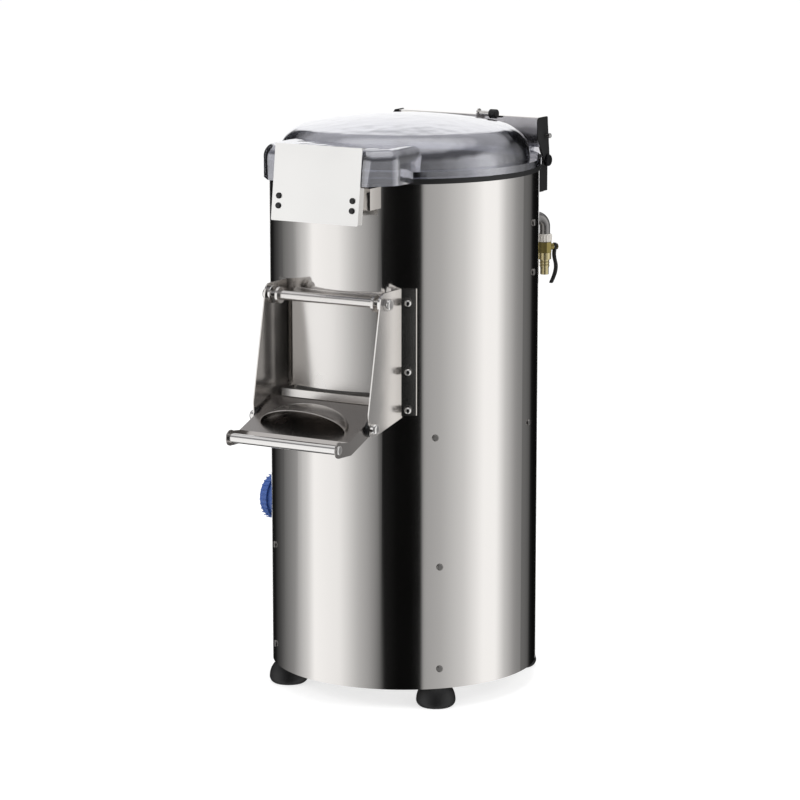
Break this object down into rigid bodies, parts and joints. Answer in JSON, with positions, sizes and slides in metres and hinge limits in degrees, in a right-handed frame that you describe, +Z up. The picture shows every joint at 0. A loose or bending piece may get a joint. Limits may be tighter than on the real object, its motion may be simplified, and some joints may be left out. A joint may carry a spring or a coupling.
{
  "type": "potato peeling machine",
  "caption": "Floor-standing potato peeling machine: steel drum body with a clear hinged lid, front discharge door and tray, water valve and blue mains inlet.",
  "frame": {"origin": "on the drum's axis at floor level, in the plane of the feet's undersides", "axes": "+Z up along the drum's axis, -Y towards the front with its discharge door, -X towards the side with the mains inlet"},
  "size_m": [0.4453, 0.5956, 0.8523],
  "materials": {
    "polished_steel": "satin",
    "lid_clear": "gloss",
    "black_rubber": "matte",
    "bright_steel": "polished",
    "valve_brass": "satin",
    "white_plastic": "satin",
    "blue_plastic": "matte",
    "black_plastic": "matte",
    "grit": "matte",
    "motor_paint": "satin",
    "cast_alloy": "satin",
    "cast_iron_grey": "matte",
    "green_plastic": "gloss",
    "red_plastic": "gloss"
  },
  "bodies": {
    "body": {"outer_shell": "polished_steel", "rim_ring": "polished_steel", "rim_gasket": "black_rubber", "base_plate": "polished_steel", "rubber_feet": "black_rubber", "foot_bolts": "bright_steel", "shell_screws": "bright_steel", "chamber_floor": "polished_steel", "peeling_drum": "polished_steel", "drum_lining": "grit", "outlet_collar": "polished_steel", "cheek_left": "polished_steel", "cheek_right": "polished_steel", "cheek_bolts": "bright_steel", "door_bar": "bright_steel", "bar_washers": "bright_steel", "bar_cap_nuts": "bright_steel", "door_seal": "black_rubber", "tray_spacers": "black_plastic", "tray_pivots": "bright_steel", "bearing_housing": "cast_iron_grey", "spindle_bearings": "bright_steel", "shaft_seal": "black_rubber", "drive_belt": "black_rubber", "motor": "motor_paint", "motor_stand": "polished_steel", "drain_pipe": "polished_steel", "hinge_bracket": "polished_steel", "hinge_pin": "bright_steel", "switch_brackets": "polished_steel", "inlet_pipe": "bright_steel", "union_nut": "white_plastic", "valve_body": "valve_brass", "hose_tail": "valve_brass", "spray_nozzle": "valve_brass", "mains_inlet": "blue_plastic", "inlet_pins": "valve_brass", "button_bezels": "black_plastic"},
    "lid": {"lid_dome": "lid_clear", "front_plate": "bright_steel", "plate_screws": "black_plastic", "lid_magnets": "black_plastic", "lid_cover": "polished_steel", "lid_buffer": "black_rubber", "lid_screws": "black_plastic"},
    "door_leaf": {"door": "polished_steel"},
    "tray": {"chute_tray": "polished_steel", "tray_handle": "bright_steel"},
    "turntable_set": {"spindle": "bright_steel", "turntable": "cast_alloy", "abrasive_disc": "grit", "hub_nut": "bright_steel", "spindle_pulley": "cast_iron_grey"},
    "motor_rotor": {"motor_shaft": "bright_steel", "motor_pulley": "cast_iron_grey"},
    "valve": {"valve_ball": "bright_steel", "valve_lever": "black_plastic"},
    "cap": {"inlet_cap": "blue_plastic"},
    "start": {"start_button": "green_plastic"},
    "stop": {"stop_button": "red_plastic"}
  },
  "joints": [
    {"name": "lid_hinge", "type": "hinge", "parent": "body", "child": "lid", "pos_m": [0, 0.216, 0.77], "axis": [-1, 0, 0], "range_deg": [0, 85]},
    {"name": "door_hinge", "type": "hinge", "parent": "body", "child": "door_leaf", "pos_m": [0, -0.22, 0.607], "axis": [-1, 0, 0], "range_deg": [0, 60]},
    {"name": "tray_hinge", "type": "hinge", "parent": "body", "child": "tray", "pos_m": [0, -0.25829, 0.43417], "axis": [-1, 0, 0], "range_deg": [0, 80]},
    {"name": "turntable_spin", "type": "hinge", "parent": "body", "child": "turntable_set", "pos_m": [0, 0, 0.41], "axis": [0, 0, 1], "continuous": true},
    {"name": "motor_spin", "type": "hinge", "parent": "body", "child": "motor_rotor", "pos_m": [0, 0.125, 0.2], "axis": [0, 0, 1], "continuous": true},
    {"name": "valve_turn", "type": "hinge", "parent": "body", "child": "valve", "pos_m": [0.13479, 0.1925, 0.6407], "axis": [0.5736, 0.8192, 0], "range_deg": [0, 90]},
    {"name": "cap_hinge", "type": "hinge", "parent": "body", "child": "cap", "pos_m": [-0.22, 0, 0.287], "axis": [0, 1, 0], "range_deg": [0, 120], "stiffness_Nm_per_rad": 0.02, "springref_deg": -28.65},
    {"name": "start_push", "type": "slide", "parent": "body", "child": "start", "axis": [0.9272, -0.3746, 0], "range_m": [0, 0.003], "stiffness_N_per_m": 300, "springref_m": -0.002},
    {"name": "stop_push", "type": "slide", "parent": "body", "child": "stop", "axis": [0.9272, -0.3746, 0], "range_m": [0, 0.003], "stiffness_N_per_m": 300, "springref_m": -0.002}
  ],
  "couplings": [
    {"joint": "motor_spin", "follows": "turntable_spin", "ratio": 3.0357}
  ]
}
